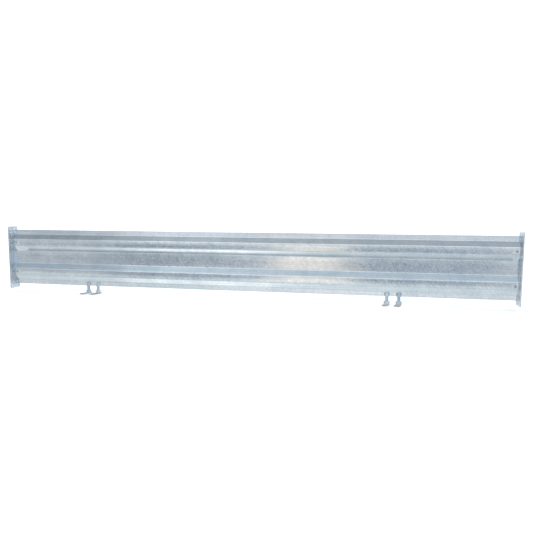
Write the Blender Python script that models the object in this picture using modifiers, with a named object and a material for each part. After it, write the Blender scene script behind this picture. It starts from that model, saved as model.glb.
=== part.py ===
"""Livestock panel gate: a profiled steel boarding between two end plates, standing on four screw feet.

Frame: the origin lies on the ground under the centre of the footprint, +X runs along the panel, +Y points to
its open rear side and +Z points up. The smooth side that the animals see faces -Y. Units are metres.
"""

import math

import bmesh
import bpy
from mathutils import Matrix, Vector

# Overall sizes
PANEL_LENGTH = 5.000        # outer face to outer face of the end plates
PLATE_HEIGHT = 0.650        # end plate, ear to ear
PLATE_DEPTH = 0.142         # end plate, front edge to rear edge
PLATE_THICKNESS = 0.010
GROUND_GAP = 0.037          # ground to the end plates' lower edge
EAR_HEIGHT = 0.037          # end plate beyond the sheet, above and below
PLATE_CORNER_RADIUS = 0.006

# Fixing holes in the ears of the end plates
EAR_HOLE_RADIUS = 0.009
EAR_HOLE_PITCH_Y = 0.065
EAR_HOLE_PITCH_Z = 0.035
EAR_HOLE_EDGE = 0.028       # plate end to the nearer row of holes

# Rolled profile of the face sheet
SHEET_THICKNESS = 0.003
PROFILE_DEPTH = 0.048       # crest front face to lip front face
HEM_DEPTH = 0.011           # folded edge, lip front face to the hem's rear edge
LIP_HEIGHT = 0.047
SLOPE_HEIGHT = 0.053
CREST_HEIGHT = 0.068
STEP_HEIGHT = 0.056
CREST_BEND_RADIUS = 0.016
VALLEY_BEND_RADIUS = 0.012
HEM_BEND_RADIUS = 0.005
BEND_SEGMENTS = 5

# Angle cleats behind the crests
CLEAT_WIDTH = 0.060         # along the sheet, from the end plate
CLEAT_HEIGHT = 0.046
CLEAT_THICKNESS = 0.006
CLEAT_BEND_RADIUS = 0.004

# Cup-square bolts, washers and nuts (M12)
BOLT_INSET = 0.023          # end plate inner face to the bolt's axis
BOLT_RADIUS = 0.006
BOLT_HEAD_RADIUS = 0.0135
BOLT_HEAD_HEIGHT = 0.0065
BOLT_NECK_WIDTH = 0.0126    # the square under the head
BOLT_TAIL = 0.005           # bolt beyond the nut
BOLT_CLEARANCE = 0.0006
WASHER_RADIUS = 0.012
WASHER_THICKNESS = 0.0025
NUT_FLATS = 0.019
NUT_HEIGHT = 0.010

# Screw feet
LEFT_PAIR_X = -1.606        # centre of the left pair of feet
RIGHT_PAIR_X = 1.424
FOOT_PITCH = 0.108          # spindle to spindle within a pair
SLEEVE_FLATS = 0.041
SLEEVE_HEIGHT = 0.039
SLEEVE_SETBACK = 0.002      # sheet's lower edge to the sleeve's lower end
SPINDLE_RADIUS = 0.015
SPINDLE_TOP_RECESS = 0.003  # spindle's top below the sleeve's top
SPINDLE_CHAMFER = 0.002
THREAD_CLEARANCE = 0.0004
COLLAR_FLATS = 0.046
COLLAR_HEIGHT = 0.024
SPIGOT_RADIUS = 0.009
FLARE_RADIUS = 0.013        # peened end that keeps the spindle in its pad
FLARE_HEIGHT = 0.003
FLARE_RECESS = 0.001        # peened end above the pad's underside
SWIVEL_CLEARANCE = 0.0004
PAD_WIDTH = 0.050
PAD_FRONT = 0.106           # spindle's axis to the pad's front end
PAD_REAR = 0.027
PAD_TURN = math.radians(-12)  # pad swivelled on its spindle, front end to the left
PAD_THICKNESS = 0.008
PAD_CORNER_RADIUS = 0.006

GAP = 0.0003                # between faces that touch
CUT_MARGIN = 0.010          # cutter beyond the face that it cuts
JOIN_OVERLAP = 0.0001       # joined solid inside the one that it joins
ROUND_SEGMENTS = 32
SMALL_ROUND_SEGMENTS = 24
DOME_STEPS = 6
CORNER_SEGMENTS = 4
MERGE_DISTANCE = 0.00001

# Dependent places
HALF_LENGTH = PANEL_LENGTH / 2
PLATE_INNER_X = HALF_LENGTH - PLATE_THICKNESS
SHEET_HALF_LENGTH = PLATE_INNER_X - GAP
PLATE_BOTTOM_Z = GROUND_GAP
PLATE_MIDDLE_Z = PLATE_BOTTOM_Z + PLATE_HEIGHT / 2
SHEET_BOTTOM_Z = PLATE_BOTTOM_Z + EAR_HEIGHT
SHEET_TOP_Z = PLATE_BOTTOM_Z + PLATE_HEIGHT - EAR_HEIGHT
LIP_Y = PLATE_DEPTH / 2 - HEM_DEPTH
CREST_Y = LIP_Y - PROFILE_DEPTH
CREST_REAR_Y = CREST_Y + SHEET_THICKNESS
LOWER_SLOPE_Z = SHEET_BOTTOM_Z + LIP_HEIGHT
LOWER_CREST_Z = LOWER_SLOPE_Z + SLOPE_HEIGHT
LOWER_STEP_Z = LOWER_CREST_Z + CREST_HEIGHT
VALLEY_BOTTOM_Z = LOWER_STEP_Z + STEP_HEIGHT
VALLEY_TOP_Z = SHEET_TOP_Z - LIP_HEIGHT - SLOPE_HEIGHT - CREST_HEIGHT - STEP_HEIGHT
UPPER_CREST_Z = VALLEY_TOP_Z + STEP_HEIGHT
UPPER_SLOPE_Z = UPPER_CREST_Z + CREST_HEIGHT
UPPER_LIP_Z = UPPER_SLOPE_Z + SLOPE_HEIGHT
BOLT_X = PLATE_INNER_X - BOLT_INSET
BOLT_ROWS_Z = {
    "lower": LOWER_CREST_Z + CREST_HEIGHT / 2,
    "upper": UPPER_CREST_Z + CREST_HEIGHT / 2,
}
SLEEVE_BOTTOM_Z = SHEET_BOTTOM_Z + SLEEVE_SETBACK
SLEEVE_TOP_Z = SLEEVE_BOTTOM_Z + SLEEVE_HEIGHT
SPINDLE_Y = LIP_Y - GAP - SLEEVE_FLATS / 2
SPINDLE_TOP_Z = SLEEVE_TOP_Z - SPINDLE_TOP_RECESS
COLLAR_BOTTOM_Z = PAD_THICKNESS + GAP
COLLAR_TOP_Z = COLLAR_BOTTOM_Z + COLLAR_HEIGHT
FEET_X = {
    "left_outer": LEFT_PAIR_X - FOOT_PITCH / 2,
    "left_inner": LEFT_PAIR_X + FOOT_PITCH / 2,
    "right_inner": RIGHT_PAIR_X - FOOT_PITCH / 2,
    "right_outer": RIGHT_PAIR_X + FOOT_PITCH / 2,
}
ENDS = {"left": -1, "right": 1}

# Finishes: linear colour, roughness
FINISHES = {
    "galvanised_sheet": ((0.50, 0.54, 0.58), 0.36),
    "galvanised_plate": ((0.47, 0.51, 0.56), 0.45),
    "galvanised_foot": ((0.30, 0.36, 0.42), 0.50),
    "zinc_fastener": ((0.40, 0.43, 0.47), 0.38),
}


def clear_scene():
    """Remove every object that the start-up file holds."""
    for item in list(bpy.data.objects):
        bpy.data.objects.remove(item, do_unlink=True)


def make_collection(name):
    """Add a collection to the scene."""
    collection = bpy.data.collections.new(name)
    bpy.context.scene.collection.children.link(collection)
    return collection


def add_object(name, mesh, collection):
    """Put a mesh into a collection as a new object."""
    item = bpy.data.objects.new(name, mesh)
    collection.objects.link(item)
    return item


def finish(item, look):
    """Give a piece its own metal material and flat sides with smooth rounds."""
    colour, roughness = FINISHES[look]
    material = bpy.data.materials.new(f"{item.name}_{look}")
    material.use_nodes = True
    shader = material.node_tree.nodes["Principled BSDF"]
    shader.inputs["Base Color"].default_value = (*colour, 1.0)
    shader.inputs["Metallic"].default_value = 1.0
    shader.inputs["Roughness"].default_value = roughness
    item.data.materials.clear()
    item.data.materials.append(material)
    item.data.shade_smooth()
    item.data.set_sharp_from_angle(angle=math.radians(30))
    return item


def mesh_from_bmesh(name, shape):
    """Turn a bmesh into a mesh with its faces pointing out."""
    bmesh.ops.recalc_face_normals(shape, faces=shape.faces)
    mesh = bpy.data.meshes.new(name)
    shape.to_mesh(mesh)
    shape.free()
    return mesh


def block_mesh(name, size, centre, corner_axis=None, corner_radius=0.0):
    """A box, with the four edges along corner_axis rounded if it is given."""
    shape = bmesh.new()
    bmesh.ops.create_cube(shape, size=1.0)
    bmesh.ops.scale(shape, vec=Vector(size), verts=shape.verts)
    if corner_axis is not None:
        along = [
            edge for edge in shape.edges
            if abs((edge.verts[0].co - edge.verts[1].co)[corner_axis]) > size[corner_axis] / 2
        ]
        bmesh.ops.bevel(shape, geom=along, offset=corner_radius, segments=CORNER_SEGMENTS, profile=0.5, affect="EDGES")
    bmesh.ops.translate(shape, vec=Vector(centre), verts=shape.verts)
    return mesh_from_bmesh(name, shape)


def prism_mesh(name, radius, low_z, high_z, segments):
    """An upright prism or cylinder between two heights."""
    shape = bmesh.new()
    bmesh.ops.create_cone(
        shape, cap_ends=True, segments=segments, radius1=radius, radius2=radius, depth=high_z - low_z)
    bmesh.ops.translate(shape, vec=(0, 0, (low_z + high_z) / 2), verts=shape.verts)
    return mesh_from_bmesh(name, shape)


def hexagon_mesh(name, flats, low_z, high_z):
    """An upright hexagon bar whose flats face +Y and -Y."""
    mesh = prism_mesh(name, flats / math.sqrt(3), low_z, high_z, 6)
    mesh.transform(Matrix.Rotation(math.radians(30), 4, "Z"))
    return mesh


def turned_piece(name, profile, collection, segments=ROUND_SEGMENTS, closed=False):
    """Turn a profile of (radius, height) points, listed from the top down, about Z."""
    shape = bmesh.new()
    points = [shape.verts.new((radius, 0, height)) for radius, height in profile]
    for start, end in zip(points, points[1:]):
        shape.edges.new((start, end))
    if closed:
        shape.edges.new((points[-1], points[0]))
    mesh = bpy.data.meshes.new(name)
    shape.to_mesh(mesh)
    shape.free()
    item = add_object(name, mesh, collection)
    screw = item.modifiers.new("turn", "SCREW")
    screw.axis = "Z"
    screw.angle = math.tau
    screw.steps = segments
    screw.render_steps = segments
    screw.use_merge_vertices = True
    screw.merge_threshold = MERGE_DISTANCE
    screw.use_normal_calculate = False
    return item


def apply_modifiers(item):
    """Replace an object's mesh with its evaluated one."""
    depsgraph = bpy.context.evaluated_depsgraph_get()
    mesh = bpy.data.meshes.new_from_object(item.evaluated_get(depsgraph))
    item.modifiers.clear()
    old = item.data
    item.data = mesh
    bpy.data.meshes.remove(old)
    mesh.name = item.name
    return item


def cut(item, mesh, matrix=None):
    """Cut a mesh out of a piece; the cutter stays in its own collection."""
    cutter = add_object(f"cut_{mesh.name}", mesh, cutters)
    cutter.matrix_world = matrix or Matrix.Identity(4)
    cutter.display_type = "WIRE"
    cutter.hide_render = True
    step = item.modifiers.new(mesh.name, "BOOLEAN")
    step.operation = "DIFFERENCE"
    step.solver = "EXACT"
    step.object = cutter
    return cutter


def join(item, mesh, matrix=None):
    """Join a mesh to a piece; the joined mesh is kept as a guide among the cutters."""
    guide = cut(item, mesh, matrix)
    item.modifiers[-1].operation = "UNION"
    return guide


def rounded_path(corners, segments):
    """Points along a path of (a, b, bend radius) corners, each corner replaced by an arc."""
    points = [Vector(corners[0][:2])]
    for before, corner, after in zip(corners, corners[1:], corners[2:]):
        middle = Vector(corner[:2])
        arriving = (middle - Vector(before[:2])).normalized()
        leaving = (Vector(after[:2]) - middle).normalized()
        turn = arriving.angle_signed(leaving)
        tangent = corner[2] * math.tan(abs(turn) / 2)
        start = middle - arriving * tangent
        side = 1 if turn < 0 else -1
        centre = start + Vector((-arriving.y, arriving.x)) * corner[2] * side
        spoke = start - centre
        for index in range(segments + 1):
            angle = abs(turn) * side * index / segments
            points.append(centre + Matrix.Rotation(angle, 2) @ spoke)
    points.append(Vector(corners[-1][:2]))
    return points


def folded_sheet(name, path, sweep_axis, low, high, thickness, collection):
    """A folded sheet: a path swept straight along sweep_axis, thickened away from its front."""
    shape = bmesh.new()
    other = [axis for axis in range(3) if axis != sweep_axis]
    points = []
    for point in path:
        place = [0.0, 0.0, 0.0]
        place[other[0]] = point.x
        place[other[1]] = point.y
        place[sweep_axis] = low
        points.append(shape.verts.new(place))
    edges = [shape.edges.new(pair) for pair in zip(points, points[1:])]
    swept = bmesh.ops.extrude_edge_only(shape, edges=edges)["geom"]
    moved = [item for item in swept if isinstance(item, bmesh.types.BMVert)]
    travel = Vector((0, 0, 0))
    travel[sweep_axis] = high - low
    bmesh.ops.translate(shape, vec=travel, verts=moved)
    mesh = bpy.data.meshes.new(name)
    shape.to_mesh(mesh)
    shape.free()
    item = add_object(name, mesh, collection)
    solid = item.modifiers.new("thickness", "SOLIDIFY")
    solid.thickness = thickness
    solid.offset = -1.0
    solid.use_even_offset = True
    return item


def along_x(x, y, z):
    """Place for an upright mesh laid along X with its middle at a point."""
    return Matrix.Translation((x, y, z)) @ Matrix.Rotation(math.radians(90), 4, "Y")


def along_y(x, y, z):
    """Place for an upright mesh laid down so that its top points to the front, -Y."""
    return Matrix.Translation((x, y, z)) @ Matrix.Rotation(math.radians(90), 4, "X")


def sheet_path():
    """Front face of the rolled profile as (y, z), from the lower hem up to the upper hem."""
    hem_y = LIP_Y + HEM_DEPTH
    corners = [
        (hem_y, SHEET_BOTTOM_Z, 0.0),
        (LIP_Y, SHEET_BOTTOM_Z, HEM_BEND_RADIUS),
        (LIP_Y, LOWER_SLOPE_Z, VALLEY_BEND_RADIUS),
        (CREST_Y, LOWER_CREST_Z, CREST_BEND_RADIUS),
        (CREST_Y, LOWER_STEP_Z, CREST_BEND_RADIUS),
        (LIP_Y, VALLEY_BOTTOM_Z, VALLEY_BEND_RADIUS),
        (LIP_Y, VALLEY_TOP_Z, VALLEY_BEND_RADIUS),
        (CREST_Y, UPPER_CREST_Z, CREST_BEND_RADIUS),
        (CREST_Y, UPPER_SLOPE_Z, CREST_BEND_RADIUS),
        (LIP_Y, UPPER_LIP_Z, VALLEY_BEND_RADIUS),
        (LIP_Y, SHEET_TOP_Z, HEM_BEND_RADIUS),
        (hem_y, SHEET_TOP_Z, 0.0),
    ]
    return rounded_path(corners, BEND_SEGMENTS)


def make_face_sheet():
    """The rolled sheet, with square bolt holes in its crests."""
    item = folded_sheet(
        "face_sheet", sheet_path(), 0, -SHEET_HALF_LENGTH, SHEET_HALF_LENGTH, SHEET_THICKNESS, body)
    hole_width = BOLT_NECK_WIDTH + 2 * BOLT_CLEARANCE
    for end, side in ENDS.items():
        for row, z in BOLT_ROWS_Z.items():
            size = (hole_width, SHEET_THICKNESS + 2 * CUT_MARGIN, hole_width)
            centre = (side * BOLT_X, CREST_Y + SHEET_THICKNESS / 2, z)
            cut(item, block_mesh(f"sheet_hole_{end}_{row}", size, centre))
    return finish(item, "galvanised_sheet")


def make_end_plate(end, side):
    """An upright flat bar with a 2 by 2 group of fixing holes in each ear."""
    size = (PLATE_THICKNESS, PLATE_DEPTH, PLATE_HEIGHT)
    centre = (side * (HALF_LENGTH - PLATE_THICKNESS / 2), 0, PLATE_MIDDLE_Z)
    mesh = block_mesh(f"end_plate_{end}", size, centre, 0, PLATE_CORNER_RADIUS)
    item = add_object(f"end_plate_{end}", mesh, body)
    reach = PLATE_THICKNESS / 2 + CUT_MARGIN
    for ear in (-1, 1):
        for row in (0, 1):
            z = PLATE_MIDDLE_Z + ear * (PLATE_HEIGHT / 2 - EAR_HOLE_EDGE - row * EAR_HOLE_PITCH_Z)
            for column in (-1, 1):
                y = column * EAR_HOLE_PITCH_Y / 2
                hole = prism_mesh(f"ear_hole_{end}_{ear}_{row}_{column}", EAR_HOLE_RADIUS, -reach, reach,
                                  SMALL_ROUND_SEGMENTS)
                cut(item, hole, along_x(centre[0], y, z))
    return finish(item, "galvanised_plate")


def make_cleat(end, side, row, z):
    """An angle cleat: one leg lies behind the crest, the other stands on the end plate's inner face."""
    plate_x = side * (PLATE_INNER_X - GAP)
    leg_end_x = side * (PLATE_INNER_X - GAP - CLEAT_WIDTH)
    front_y = CREST_REAR_Y + GAP
    rear_y = LIP_Y + SHEET_THICKNESS
    corners = [
        (leg_end_x, front_y, 0.0),
        (plate_x, front_y, CLEAT_BEND_RADIUS + CLEAT_THICKNESS),
        (plate_x, rear_y, 0.0),
    ]
    path = rounded_path(corners if side < 0 else corners[::-1], BEND_SEGMENTS)
    name = f"cleat_{end}_{row}"
    low = z - CLEAT_HEIGHT / 2
    item = folded_sheet(name, path, 2, low, low + CLEAT_HEIGHT, CLEAT_THICKNESS, body)
    hole = prism_mesh(
        f"cleat_hole_{end}_{row}", BOLT_RADIUS + BOLT_CLEARANCE,
        -CLEAT_THICKNESS - CUT_MARGIN, CUT_MARGIN, SMALL_ROUND_SEGMENTS)
    cut(item, hole, along_y(side * BOLT_X, front_y, z))
    return finish(item, "galvanised_plate")


def bolt_stack():
    """Depths along +Y, from the crest's front face, of what a bolt holds together."""
    cleat_rear = CREST_REAR_Y + GAP + CLEAT_THICKNESS
    washer_front = cleat_rear + GAP
    nut_front = washer_front + WASHER_THICKNESS + GAP
    return washer_front, nut_front, nut_front + NUT_HEIGHT + BOLT_TAIL


def make_bolt(end, side, row, z):
    """A cup-square bolt: domed head in front of the crest, square neck in the sheet, shank to the rear."""
    name = f"bolt_{end}_{row}"
    seat_y = CREST_Y - GAP
    shank_end_y = bolt_stack()[2]
    dome_radius = (BOLT_HEAD_RADIUS ** 2 + BOLT_HEAD_HEIGHT ** 2) / (2 * BOLT_HEAD_HEIGHT)
    dome_angle = math.asin(BOLT_HEAD_RADIUS / dome_radius)
    profile = [(0.0, BOLT_HEAD_HEIGHT)]
    for index in range(1, DOME_STEPS + 1):
        angle = dome_angle * index / DOME_STEPS
        profile.append((
            dome_radius * math.sin(angle),
            BOLT_HEAD_HEIGHT - dome_radius * (1 - math.cos(angle))))
    length = shank_end_y - seat_y
    profile += [(BOLT_RADIUS, 0.0), (BOLT_RADIUS, -length), (0.0, -length)]
    item = turned_piece(name, profile, body, SMALL_ROUND_SEGMENTS)
    item.matrix_world = along_y(side * BOLT_X, seat_y, z)
    neck_depth = GAP + SHEET_THICKNESS + JOIN_OVERLAP
    neck = block_mesh(
        f"{name}_neck", (BOLT_NECK_WIDTH, neck_depth, BOLT_NECK_WIDTH),
        (side * BOLT_X, seat_y - JOIN_OVERLAP + neck_depth / 2, z))
    join(item, neck)
    return finish(item, "zinc_fastener")


def make_washer(end, side, row, z):
    """A flat washer behind the cleat."""
    inner = BOLT_RADIUS + BOLT_CLEARANCE
    profile = [
        (inner, 0.0), (WASHER_RADIUS, 0.0),
        (WASHER_RADIUS, -WASHER_THICKNESS), (inner, -WASHER_THICKNESS),
    ]
    item = turned_piece(f"washer_{end}_{row}", profile, body, SMALL_ROUND_SEGMENTS, closed=True)
    item.matrix_world = along_y(side * BOLT_X, bolt_stack()[0], z)
    return finish(item, "zinc_fastener")


def make_nut(end, side, row, z):
    """A hexagon nut on the bolt's tail."""
    name = f"nut_{end}_{row}"
    item = add_object(name, hexagon_mesh(name, NUT_FLATS, -NUT_HEIGHT, 0.0), body)
    place = along_y(side * BOLT_X, bolt_stack()[1], z)
    item.matrix_world = place
    bore = prism_mesh(
        f"{name}_bore", BOLT_RADIUS + BOLT_CLEARANCE, -NUT_HEIGHT - CUT_MARGIN, CUT_MARGIN, SMALL_ROUND_SEGMENTS)
    cut(item, bore, place)
    return finish(item, "zinc_fastener")


def make_sleeve(place, x):
    """A long hexagon nut that stands against the front of the bottom lip."""
    name = f"foot_sleeve_{place}"
    item = add_object(name, hexagon_mesh(name, SLEEVE_FLATS, SLEEVE_BOTTOM_Z, SLEEVE_TOP_Z), body)
    item.location = (x, SPINDLE_Y, 0)
    bore = prism_mesh(
        f"{name}_bore", SPINDLE_RADIUS + THREAD_CLEARANCE,
        SLEEVE_BOTTOM_Z - CUT_MARGIN, SLEEVE_TOP_Z + CUT_MARGIN, ROUND_SEGMENTS)
    cut(item, bore, Matrix.Translation((x, SPINDLE_Y, 0)))
    return finish(item, "galvanised_foot")


def make_spindle(place, x, carrier):
    """A screw spindle with a hexagon collar, and a peened spigot that swivels in the pad."""
    name = f"foot_spindle_{place}"
    middle_z = (COLLAR_BOTTOM_Z + COLLAR_TOP_Z) / 2
    profile = [
        (0.0, SPINDLE_TOP_Z),
        (SPINDLE_RADIUS - SPINDLE_CHAMFER, SPINDLE_TOP_Z),
        (SPINDLE_RADIUS, SPINDLE_TOP_Z - SPINDLE_CHAMFER),
        (SPINDLE_RADIUS, middle_z),
        (SPIGOT_RADIUS, middle_z),
        (SPIGOT_RADIUS, FLARE_RECESS + FLARE_HEIGHT),
        (FLARE_RADIUS, FLARE_RECESS),
        (0.0, FLARE_RECESS),
    ]
    item = turned_piece(name, profile, body)
    item.parent = carrier
    matrix = Matrix.Translation((x, SPINDLE_Y, 0))
    join(item, hexagon_mesh(f"{name}_collar", COLLAR_FLATS, COLLAR_BOTTOM_Z, COLLAR_TOP_Z), matrix)
    return finish(item, "galvanised_foot")


def make_pad(place, x, carrier):
    """A narrow base plate that swivels on its spindle, whose peened end it holds in a countersunk hole."""
    name = f"foot_pad_{place}"
    mesh = block_mesh(
        name, (PAD_WIDTH, PAD_FRONT + PAD_REAR, PAD_THICKNESS), (0, (PAD_REAR - PAD_FRONT) / 2, PAD_THICKNESS / 2),
        2, PAD_CORNER_RADIUS)
    mesh.transform(Matrix.Rotation(PAD_TURN, 4, "Z"))
    item = add_object(name, mesh, body)
    item.parent = carrier
    wide = FLARE_RADIUS + SWIVEL_CLEARANCE
    narrow = SPIGOT_RADIUS + SWIVEL_CLEARANCE
    shoulder = FLARE_RECESS + FLARE_HEIGHT + SWIVEL_CLEARANCE
    top = PAD_THICKNESS + CUT_MARGIN
    profile = [
        (0.0, top), (narrow, top), (narrow, shoulder),
        (wide, FLARE_RECESS + SWIVEL_CLEARANCE / 2), (wide, -CUT_MARGIN), (0.0, -CUT_MARGIN),
    ]
    hole = turned_piece(f"{name}_hole", profile, cutters)
    cutter_mesh = apply_modifiers(hole).data
    bpy.data.objects.remove(hole)
    cut(item, cutter_mesh, Matrix.Translation((x, SPINDLE_Y, 0)))
    return finish(item, "galvanised_foot")


def make_foot(place, x):
    """One screw foot: its sleeve is fixed to the sheet, its pad slides and its spindle turns about one axis."""
    carrier = bpy.data.objects.new(f"foot_axis_{place}", None)
    carrier.location = (x, SPINDLE_Y, 0)
    body.objects.link(carrier)
    make_sleeve(place, x)
    make_spindle(place, x, carrier)
    make_pad(place, x, carrier)


clear_scene()
body = make_collection("livestock_panel_gate")
cutters = make_collection("cutters")
make_face_sheet()
for end_name, end_side in ENDS.items():
    make_end_plate(end_name, end_side)
    for row_name, row_z in BOLT_ROWS_Z.items():
        make_cleat(end_name, end_side, row_name, row_z)
        make_bolt(end_name, end_side, row_name, row_z)
        make_washer(end_name, end_side, row_name, row_z)
        make_nut(end_name, end_side, row_name, row_z)
for foot_name, foot_x in FEET_X.items():
    make_foot(foot_name, foot_x)
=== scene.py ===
"""Looks of a galvanised livestock panel gate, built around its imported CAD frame.

The rolled face sheet, end plates, cleats, cup-square bolts and screw feet are modelled again with their real
bends, threads, chamfers and welds, and are given hot-dip galvanised finishes. Lengths are in metres.
"""

import logging
import math
from collections.abc import Callable
from dataclasses import dataclass, field
from enum import Enum

import bmesh
import bpy
from mathutils import Matrix, Vector


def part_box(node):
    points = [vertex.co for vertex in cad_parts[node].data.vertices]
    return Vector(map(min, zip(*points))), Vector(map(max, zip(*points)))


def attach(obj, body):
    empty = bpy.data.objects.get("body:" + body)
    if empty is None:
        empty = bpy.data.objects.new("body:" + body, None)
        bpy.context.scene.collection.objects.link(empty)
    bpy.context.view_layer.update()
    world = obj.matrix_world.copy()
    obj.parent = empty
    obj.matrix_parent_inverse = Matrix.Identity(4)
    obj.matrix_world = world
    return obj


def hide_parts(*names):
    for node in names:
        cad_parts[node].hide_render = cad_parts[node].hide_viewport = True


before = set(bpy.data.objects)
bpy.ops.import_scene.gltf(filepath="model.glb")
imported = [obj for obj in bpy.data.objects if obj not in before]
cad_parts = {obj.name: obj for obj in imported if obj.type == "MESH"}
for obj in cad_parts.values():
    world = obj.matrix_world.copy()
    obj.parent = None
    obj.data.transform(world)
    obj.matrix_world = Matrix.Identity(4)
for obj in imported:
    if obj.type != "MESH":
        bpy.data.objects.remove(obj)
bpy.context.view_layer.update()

MM = 0.001
GAP = 0.3 * MM
CUT_MARGIN = 10 * MM
PROUD = 0.05 * MM  # a cone that cuts an end stands this far past it
OVERLAP = 0.01 * MM  # solids that would only just meet run this far into each other
NEAR = 0.1 * MM  # heights closer than this are the same one
ALIGNED = 0.9  # cosine past which an edge or a normal lies along an axis
SMOOTH_ANGLE = math.radians(32)

log = logging.getLogger("panel_gate")


class Join(Enum):
    """How a Boolean joins a second solid to the first."""

    ADD = "UNION"
    CUT = "DIFFERENCE"
    KEEP_COMMON = "INTERSECT"


class Pick(Enum):
    """What edit mode selects."""

    EDGES = "EDGE"
    FACES = "FACE"


class Row(Enum):
    """The two crests of the profile, which carry the bolts."""

    LOWER = "lower"
    UPPER = "upper"


class End(Enum):
    """The two ends of the panel, with the sign of their X."""

    LEFT = -1
    RIGHT = 1

    @property
    def word(self) -> str:
        """The end's name as the CAD nodes spell it."""
        return self.name.lower()


# ---------------------------------------------------------------- modelling helpers


def deselect_all() -> None:
    """Leave edit mode if it is on, and select nothing."""
    if bpy.context.object is not None and bpy.context.object.mode != "OBJECT":
        bpy.ops.object.mode_set(mode="OBJECT")
    bpy.ops.object.select_all(action="DESELECT")


def make_active(piece: bpy.types.Object) -> None:
    """Select one piece alone and make it the active one.

    Args:
        piece: The object that the next operators act on.
    """
    deselect_all()
    piece.select_set(True)
    bpy.context.view_layer.objects.active = piece


def select_in_edit(piece: bpy.types.Object, kind: Pick, wanted: Callable[[Vector, Vector], bool]) -> None:
    """Select the edges or faces of the piece in edit mode that pass a test.

    Args:
        piece: The object that is in edit mode.
        kind: Edges or faces.
        wanted: Takes a middle point and a direction, an edge's run or a face's normal, and says whether to
            select.
    """
    bpy.ops.mesh.select_mode(type=kind.value)
    bpy.ops.mesh.select_all(action="DESELECT")
    cage = bmesh.from_edit_mesh(piece.data)
    if kind is Pick.EDGES:
        for edge in cage.edges:
            start, end = (vertex.co for vertex in edge.verts)
            if wanted((start + end) / 2, (end - start).normalized()):
                edge.select_set(True)
    else:
        cage.normal_update()
        for face in cage.faces:
            if wanted(face.calc_center_median(), face.normal):
                face.select_set(True)
    bmesh.update_edit_mesh(piece.data)


def use_modifier(piece: bpy.types.Object, kind: str, **settings: object) -> None:
    """Add a modifier, set it and apply it.

    Args:
        piece: The object to change.
        kind: Blender's modifier type.
        **settings: The modifier's properties.
    """
    make_active(piece)
    modifier = piece.modifiers.new(kind.lower(), kind)
    for name, value in settings.items():
        setattr(modifier, name, value)
    bpy.ops.object.modifier_apply(modifier=modifier.name)


def combine(piece: bpy.types.Object, other: bpy.types.Object, how: Join) -> bpy.types.Object:
    """Join, cut or intersect a piece with a second solid, which is used up.

    Args:
        piece: The object that stays.
        other: The solid to combine it with.
        how: The Boolean operation.

    Returns:
        The piece.
    """
    use_modifier(piece, "BOOLEAN", operation=how.value, solver="EXACT", object=other)
    bpy.data.objects.remove(other, do_unlink=True)
    return piece


def soften_edges(piece: bpy.types.Object, width: float, segments: int = 2, angle_deg: float = 35.0) -> None:
    """Round the sharp edges of a piece a little.

    Args:
        piece: The object to change.
        width: Width of the rounding.
        segments: Facets across the rounding.
        angle_deg: Edges that turn by less than this stay as they are.
    """
    use_modifier(
        piece, "BEVEL", width=width, segments=segments, limit_method="ANGLE",
        angle_limit=math.radians(angle_deg), harden_normals=False, use_clamp_overlap=True)


def place_in_mesh(piece: bpy.types.Object) -> bpy.types.Object:
    """Move a piece's place, turn and scale into its mesh, and shade its rounds smooth.

    Args:
        piece: The object to settle.

    Returns:
        The piece, with its object at the origin.
    """
    make_active(piece)
    bpy.ops.object.transform_apply(location=True, rotation=True, scale=True)
    bpy.ops.object.shade_smooth_by_angle(angle=SMOOTH_ANGLE)
    return piece


def placed_copy(master: bpy.types.Object, name: str, place: Matrix) -> bpy.types.Object:
    """Copy a modelled piece, with a mesh of its own, to another place.

    Args:
        master: The piece to copy.
        name: The copy's name.
        place: Where the copy goes, from the master's own frame.

    Returns:
        The copy, with its place in its mesh.
    """
    copy = bpy.data.objects.new(name, master.data.copy())
    copy.data.name = name
    bpy.context.scene.collection.objects.link(copy)
    copy.data.transform(place)
    if place.determinant() < 0:
        copy.data.flip_normals()
    return copy


def block(name: str, low: Vector, high: Vector) -> bpy.types.Object:
    """A box between two corners.

    Args:
        name: The object's name.
        low: Lowest corner.
        high: Highest corner.

    Returns:
        The box, with its size in its mesh.
    """
    deselect_all()
    bpy.ops.mesh.primitive_cube_add(size=1.0, location=(low + high) / 2, scale=high - low)
    piece = bpy.context.object
    piece.name = name
    return place_in_mesh(piece)


def cylinder(
    name: str, radius: float, low: float, high: float, vertices: int = 48, turn: float = 0.0
) -> bpy.types.Object:
    """An upright cylinder or prism on the Z axis.

    Args:
        name: The object's name.
        radius: Radius to its corners.
        low: Height of its lower end.
        high: Height of its upper end.
        vertices: Sides.
        turn: Turn about Z, in radians.

    Returns:
        The cylinder, with its place in its mesh.
    """
    deselect_all()
    bpy.ops.mesh.primitive_cylinder_add(
        vertices=vertices, radius=radius, depth=high - low, location=(0, 0, (low + high) / 2),
        rotation=(0, 0, turn))
    piece = bpy.context.object
    piece.name = name
    return place_in_mesh(piece)


def cone(name: str, low_radius: float, high_radius: float, low: float, high: float) -> bpy.types.Object:
    """An upright cone frustum on the Z axis.

    Args:
        name: The object's name.
        low_radius: Radius at its lower end.
        high_radius: Radius at its upper end.
        low: Height of its lower end.
        high: Height of its upper end.

    Returns:
        The cone, with its place in its mesh.
    """
    deselect_all()
    bpy.ops.mesh.primitive_cone_add(
        vertices=48, radius1=low_radius, radius2=high_radius, depth=high - low,
        location=(0, 0, (low + high) / 2))
    piece = bpy.context.object
    piece.name = name
    return place_in_mesh(piece)


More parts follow.
